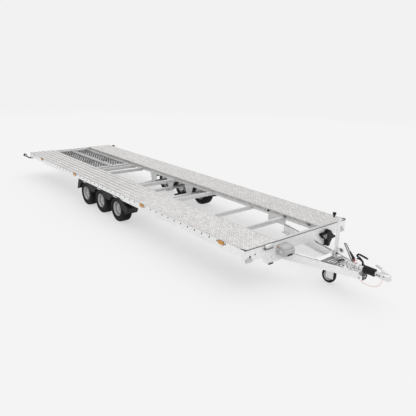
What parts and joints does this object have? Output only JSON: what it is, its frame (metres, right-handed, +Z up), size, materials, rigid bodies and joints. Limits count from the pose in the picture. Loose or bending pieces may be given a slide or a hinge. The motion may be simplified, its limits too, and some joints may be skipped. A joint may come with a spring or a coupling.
{
  "type": "car trailer",
  "caption": "Long flat car trailer with two perforated-edge runways, low wheels under the deck, V drawbar, jockey wheel and loading ramps stowed in the rear.",
  "frame": {"origin": "middle of the whole length and width at floor level, under the bed", "axes": "+X forward along the drawbar, +Y to the trailer's left side, +Z up"},
  "size_m": [8.895, 2.4306, 0.9683],
  "materials": {
    "galvanised": "hot-dip galvanised, satin",
    "deck_sheet": "galvanised tread sheet, satin",
    "rim_silver": "satin silver",
    "cast_grey": "zinc plated casting",
    "ramp_aluminium": "mill finish",
    "tyre_rubber": "matte",
    "rubber": "matte",
    "black_plastic": "matte",
    "grey_plastic": "matte",
    "red_sleeve": "gloss sleeve on a steel cable"
  },
  "bodies": {
    "chassis": {"runway_right": "deck_sheet", "runway_left": "deck_sheet", "side_rail_right": "galvanised", "side_rail_left": "galvanised", "inner_beam_right": "galvanised", "inner_beam_left": "galvanised", "front_beam": "galvanised", "rear_beam": "galvanised", "cross_member_1": "galvanised", "cross_member_2": "galvanised", "cross_member_3": "galvanised", "cross_member_4": "galvanised", "cross_member_5": "galvanised", "cross_member_6": "galvanised", "ramp_bearer": "galvanised", "axle_front": "galvanised", "axle_middle": "galvanised", "axle_rear": "galvanised", "mudguard_right": "black_plastic", "mudguard_left": "black_plastic", "corner_lamp_right": "rubber", "corner_lamp_left": "rubber", "drawbar_beam_right": "galvanised", "drawbar_beam_left": "galvanised", "overrun_housing": "cast_grey", "bellows": "rubber", "coupling_head": "cast_grey", "handbrake_lever": "galvanised", "grab_handle": "black_plastic", "jockey_bracket": "galvanised", "jockey_outer_tube": "galvanised", "jockey_crank": "black_plastic", "equipment_box": "grey_plastic", "wheel_chock": "black_plastic", "breakaway_cable": "red_sleeve"},
    "wheel_front_right": {"tyre_front_right": "tyre_rubber", "rim_front_right": "rim_silver"},
    "wheel_front_left": {"tyre_front_left": "tyre_rubber", "rim_front_left": "rim_silver"},
    "wheel_middle_right": {"tyre_middle_right": "tyre_rubber", "rim_middle_right": "rim_silver"},
    "wheel_middle_left": {"tyre_middle_left": "tyre_rubber", "rim_middle_left": "rim_silver"},
    "wheel_rear_right": {"tyre_rear_right": "tyre_rubber", "rim_rear_right": "rim_silver"},
    "wheel_rear_left": {"tyre_rear_left": "tyre_rubber", "rim_rear_left": "rim_silver"},
    "jockey_slide": {"jockey_leg": "galvanised"},
    "jockey_caster": {"jockey_fork": "galvanised"},
    "jockey_roller": {"jockey_wheel": "tyre_rubber"},
    "ramp_right": {"ramp_right": "ramp_aluminium"},
    "ramp_left": {"ramp_left": "ramp_aluminium"}
  },
  "joints": [
    {"name": "wheel_front_right_spin", "type": "hinge", "parent": "chassis", "child": "wheel_front_right", "pos_m": [-0.164, -0.93, 0.234], "axis": [0, 1, 0], "continuous": true},
    {"name": "wheel_front_left_spin", "type": "hinge", "parent": "chassis", "child": "wheel_front_left", "pos_m": [-0.164, 0.93, 0.234], "axis": [0, 1, 0], "continuous": true},
    {"name": "wheel_middle_right_spin", "type": "hinge", "parent": "chassis", "child": "wheel_middle_right", "pos_m": [-0.78, -0.93, 0.234], "axis": [0, 1, 0], "continuous": true},
    {"name": "wheel_middle_left_spin", "type": "hinge", "parent": "chassis", "child": "wheel_middle_left", "pos_m": [-0.78, 0.93, 0.234], "axis": [0, 1, 0], "continuous": true},
    {"name": "wheel_rear_right_spin", "type": "hinge", "parent": "chassis", "child": "wheel_rear_right", "pos_m": [-1.396, -0.93, 0.234], "axis": [0, 1, 0], "continuous": true},
    {"name": "wheel_rear_left_spin", "type": "hinge", "parent": "chassis", "child": "wheel_rear_left", "pos_m": [-1.396, 0.93, 0.234], "axis": [0, 1, 0], "continuous": true},
    {"name": "jockey_leg_slide", "type": "slide", "parent": "chassis", "child": "jockey_slide", "axis": [0, 0, 1], "range_m": [-0.12, 0.06]},
    {"name": "jockey_swivel", "type": "hinge", "parent": "jockey_slide", "child": "jockey_caster", "pos_m": [3.6325, 0.075, 0.215], "axis": [0, 0, 1], "continuous": true},
    {"name": "jockey_wheel_spin", "type": "hinge", "parent": "jockey_caster", "child": "jockey_roller", "pos_m": [3.5725, 0.075, 0.1], "axis": [0, 1, 0], "continuous": true},
    {"name": "ramp_right_slide", "type": "slide", "parent": "chassis", "child": "ramp_right", "axis": [-1, 0, 0], "range_m": [0, 2.1]},
    {"name": "ramp_left_slide", "type": "slide", "parent": "chassis", "child": "ramp_left", "axis": [-1, 0, 0], "range_m": [0, 2.1]}
  ]
}
